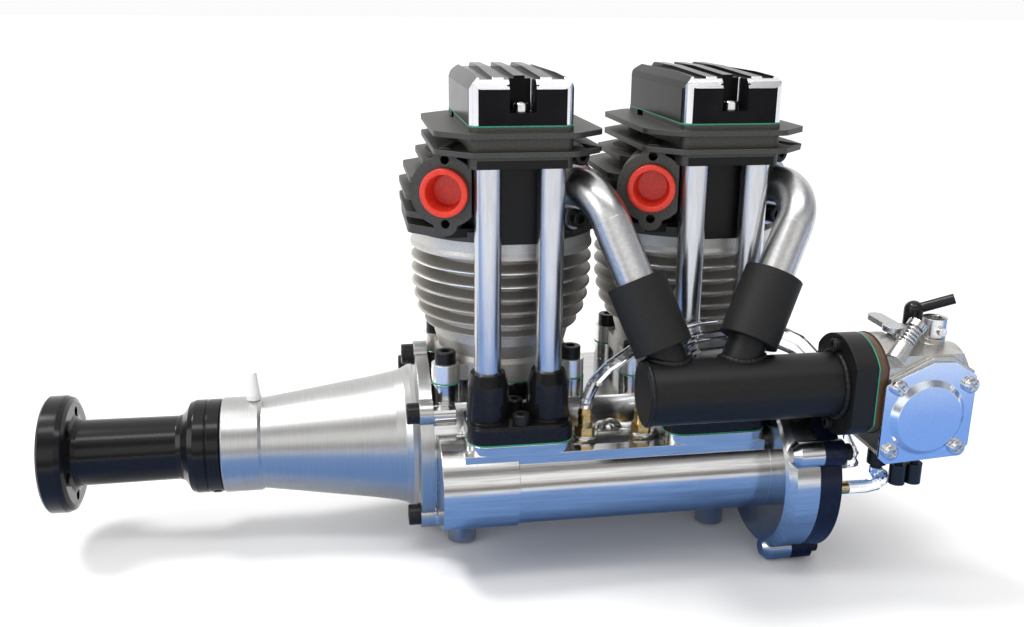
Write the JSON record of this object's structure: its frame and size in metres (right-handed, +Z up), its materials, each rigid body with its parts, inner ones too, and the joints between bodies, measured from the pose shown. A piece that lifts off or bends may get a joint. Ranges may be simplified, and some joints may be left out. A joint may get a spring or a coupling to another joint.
{
  "type": "model aircraft engine",
  "caption": "Inline twin four-stroke model aircraft engine with propeller hub, finned cylinders, overhead valves, side intake manifold and carburettor.",
  "frame": {"origin": "centre of the propeller hub's front face", "axes": "+X along the crank axis away from the propeller, +Z up the cylinders, -Y the side of the camshaft and the carburettor"},
  "size_m": [0.3492, 0.1479, 0.1937],
  "materials": {
    "cast_aluminium": "polished cast",
    "turned_aluminium": "satin turned",
    "blasted_aluminium": "bead blasted",
    "dark_head": "dark blasted",
    "gloss_black": "gloss black",
    "black_anodised": "semi gloss black anodised",
    "navy_anodised": "dark blue black anodised",
    "steel": "ground steel",
    "black_steel": "black oxide",
    "bright_screws": "nickel plated",
    "satin_black": "satin black paint",
    "rubber": "matt",
    "insulator": "laminate",
    "carb_cast": "die cast",
    "carb_stamped": "zinc plated",
    "black_plastic": "moulded",
    "brass": "turned",
    "clear_tube": "clear flexible",
    "ceramic": "white ceramic with steel shell",
    "gasket": "green fibre",
    "red_plastic": "moulded"
  },
  "bodies": {
    "engine": {"crankcase": "cast_aluminium", "nose_housing": "turned_aluminium", "rear_cover": "navy_anodised", "front_cylinder": "blasted_aluminium", "rear_cylinder": "blasted_aluminium", "front_head": "dark_head", "rear_head": "dark_head", "front_rocker_cover": "gloss_black", "rear_rocker_cover": "gloss_black", "front_lifter_block": "gloss_black", "rear_lifter_block": "gloss_black", "pushrod_tubes": "turned_aluminium", "front_intake_pipe": "turned_aluminium", "rear_intake_pipe": "turned_aluminium", "intake_hoses": "rubber", "intake_manifold": "satin_black", "carb_insulator": "insulator", "carb_body": "carb_cast", "carb_cover": "carb_stamped", "fuel_elbow": "black_plastic", "carb_adjusters": "bright_screws", "breather_barbs": "brass", "breather_hoses": "clear_tube", "pulse_hose": "clear_tube", "spark_plugs": "ceramic", "gaskets": "gasket", "socket_screws_m5": "black_steel", "socket_screws_m4": "black_steel", "rocker_cover_screws": "bright_screws", "carb_screws": "bright_screws", "bearings": "steel", "rocker_shafts": "steel", "front_exhaust_spring": "steel", "front_intake_spring": "steel", "rear_exhaust_spring": "steel", "rear_intake_spring": "steel"},
    "crank": {"crankshaft": "steel", "prop_hub": "black_anodised", "magnet_ring": "black_anodised"},
    "cam": {"camshaft": "steel"},
    "piston_front": {"front_piston": "turned_aluminium"},
    "piston_rear": {"rear_piston": "turned_aluminium"},
    "rod_front": {"front_conrod": "steel"},
    "rod_rear": {"rear_conrod": "steel"},
    "throttle": {"throttle_shaft": "steel"},
    "choke": {"choke_shaft": "steel"},
    "plug_front": {"front_exhaust_plug": "red_plastic"},
    "plug_rear": {"rear_exhaust_plug": "red_plastic"},
    "exhaust_pushrod_front": {"front_exhaust_pushrod": "steel"},
    "exhaust_rocker_front": {"front_exhaust_rocker": "steel"},
    "exhaust_valve_front": {"front_exhaust_valve": "steel"},
    "intake_pushrod_front": {"front_intake_pushrod": "steel"},
    "intake_rocker_front": {"front_intake_rocker": "steel"},
    "intake_valve_front": {"front_intake_valve": "steel"},
    "exhaust_pushrod_rear": {"rear_exhaust_pushrod": "steel"},
    "exhaust_rocker_rear": {"rear_exhaust_rocker": "steel"},
    "exhaust_valve_rear": {"rear_exhaust_valve": "steel"},
    "intake_pushrod_rear": {"rear_intake_pushrod": "steel"},
    "intake_rocker_rear": {"rear_intake_rocker": "steel"},
    "intake_valve_rear": {"rear_intake_valve": "steel"}
  },
  "joints": [
    {"name": "crank_spin", "type": "hinge", "parent": "engine", "child": "crank", "pos_m": [0, 0, 0], "axis": [1, 0, 0], "continuous": true},
    {"name": "cam_spin", "type": "hinge", "parent": "engine", "child": "cam", "pos_m": [0, -0.045, -0.002], "axis": [1, 0, 0], "continuous": true},
    {"name": "front_piston_slide", "type": "slide", "parent": "engine", "child": "piston_front", "axis": [0, 0, 1], "range_m": [-0.032, 0]},
    {"name": "rear_piston_slide", "type": "slide", "parent": "engine", "child": "piston_rear", "axis": [0, 0, 1], "range_m": [-0.032, 0]},
    {"name": "front_rod_swing", "type": "hinge", "parent": "piston_front", "child": "rod_front", "pos_m": [0.186, 0, 0.076], "axis": [1, 0, 0], "range_deg": [-15.4, 15.4]},
    {"name": "rear_rod_swing", "type": "hinge", "parent": "piston_rear", "child": "rod_rear", "pos_m": [0.264, 0, 0.076], "axis": [1, 0, 0], "range_deg": [-15.4, 15.4]},
    {"name": "front_plug_pull", "type": "slide", "parent": "engine", "child": "plug_front", "axis": [-0.342, -0.9397, 0], "range_m": [0, 0.02]},
    {"name": "rear_plug_pull", "type": "slide", "parent": "engine", "child": "plug_rear", "axis": [-0.342, -0.9397, 0], "range_m": [0, 0.02]},
    {"name": "throttle_turn", "type": "hinge", "parent": "engine", "child": "throttle", "pos_m": [0.3225, -0.075, 0.0422], "axis": [0, 0, 1], "range_deg": [0, 75]},
    {"name": "choke_turn", "type": "hinge", "parent": "engine", "child": "choke", "pos_m": [0.3385, -0.075, 0.0422], "axis": [0, 0, 1], "range_deg": [-80, 0]},
    {"name": "front_exhaust_pushrod_lift", "type": "slide", "parent": "engine", "child": "exhaust_pushrod_front", "axis": [0, 0, 1], "range_m": [0, 0.0035]},
    {"name": "front_exhaust_rocker_tilt", "type": "hinge", "parent": "engine", "child": "exhaust_rocker_front", "pos_m": [0.17425, -0.0195, 0.14], "axis": [-1, 0, 0], "range_deg": [0, 7.9]},
    {"name": "front_exhaust_valve_lift", "type": "slide", "parent": "engine", "child": "exhaust_valve_front", "axis": [0, 0, -1], "range_m": [0, 0.0035], "deforming": ["front_exhaust_spring"]},
    {"name": "front_intake_pushrod_lift", "type": "slide", "parent": "engine", "child": "intake_pushrod_front", "axis": [0, 0, 1], "range_m": [0, 0.0035]},
    {"name": "front_intake_rocker_tilt", "type": "hinge", "parent": "engine", "child": "intake_rocker_front", "pos_m": [0.19775, -0.0195, 0.14], "axis": [-1, 0, 0], "range_deg": [0, 7.9]},
    {"name": "front_intake_valve_lift", "type": "slide", "parent": "engine", "child": "intake_valve_front", "axis": [0, 0, -1], "range_m": [0, 0.0035], "deforming": ["front_intake_spring"]},
    {"name": "rear_exhaust_pushrod_lift", "type": "slide", "parent": "engine", "child": "exhaust_pushrod_rear", "axis": [0, 0, 1], "range_m": [0, 0.0035]},
    {"name": "rear_exhaust_rocker_tilt", "type": "hinge", "parent": "engine", "child": "exhaust_rocker_rear", "pos_m": [0.25225, -0.0195, 0.14], "axis": [-1, 0, 0], "range_deg": [0, 7.9]},
    {"name": "rear_exhaust_valve_lift", "type": "slide", "parent": "engine", "child": "exhaust_valve_rear", "axis": [0, 0, -1], "range_m": [0, 0.0035], "deforming": ["rear_exhaust_spring"]},
    {"name": "rear_intake_pushrod_lift", "type": "slide", "parent": "engine", "child": "intake_pushrod_rear", "axis": [0, 0, 1], "range_m": [0, 0.0035]},
    {"name": "rear_intake_rocker_tilt", "type": "hinge", "parent": "engine", "child": "intake_rocker_rear", "pos_m": [0.27575, -0.0195, 0.14], "axis": [-1, 0, 0], "range_deg": [0, 7.9]},
    {"name": "rear_intake_valve_lift", "type": "slide", "parent": "engine", "child": "intake_valve_rear", "axis": [0, 0, -1], "range_m": [0, 0.0035], "deforming": ["rear_intake_spring"]}
  ],
  "couplings": [
    {"joint": "cam_spin", "follows": "crank_spin", "ratio": -0.5},
    {"joint": "rear_piston_slide", "follows": "front_piston_slide", "ratio": 1},
    {"joint": "rear_rod_swing", "follows": "front_rod_swing", "ratio": 1},
    {"joint": "front_exhaust_rocker_tilt", "follows": "front_exhaust_pushrod_lift", "rad_per_m": 39.216},
    {"joint": "front_exhaust_valve_lift", "follows": "front_exhaust_pushrod_lift", "ratio": 1},
    {"joint": "front_intake_rocker_tilt", "follows": "front_intake_pushrod_lift", "rad_per_m": 39.216},
    {"joint": "front_intake_valve_lift", "follows": "front_intake_pushrod_lift", "ratio": 1},
    {"joint": "rear_exhaust_rocker_tilt", "follows": "rear_exhaust_pushrod_lift", "rad_per_m": 39.216},
    {"joint": "rear_exhaust_valve_lift", "follows": "rear_exhaust_pushrod_lift", "ratio": 1},
    {"joint": "rear_intake_rocker_tilt", "follows": "rear_intake_pushrod_lift", "rad_per_m": 39.216},
    {"joint": "rear_intake_valve_lift", "follows": "rear_intake_pushrod_lift", "ratio": 1}
  ]
}
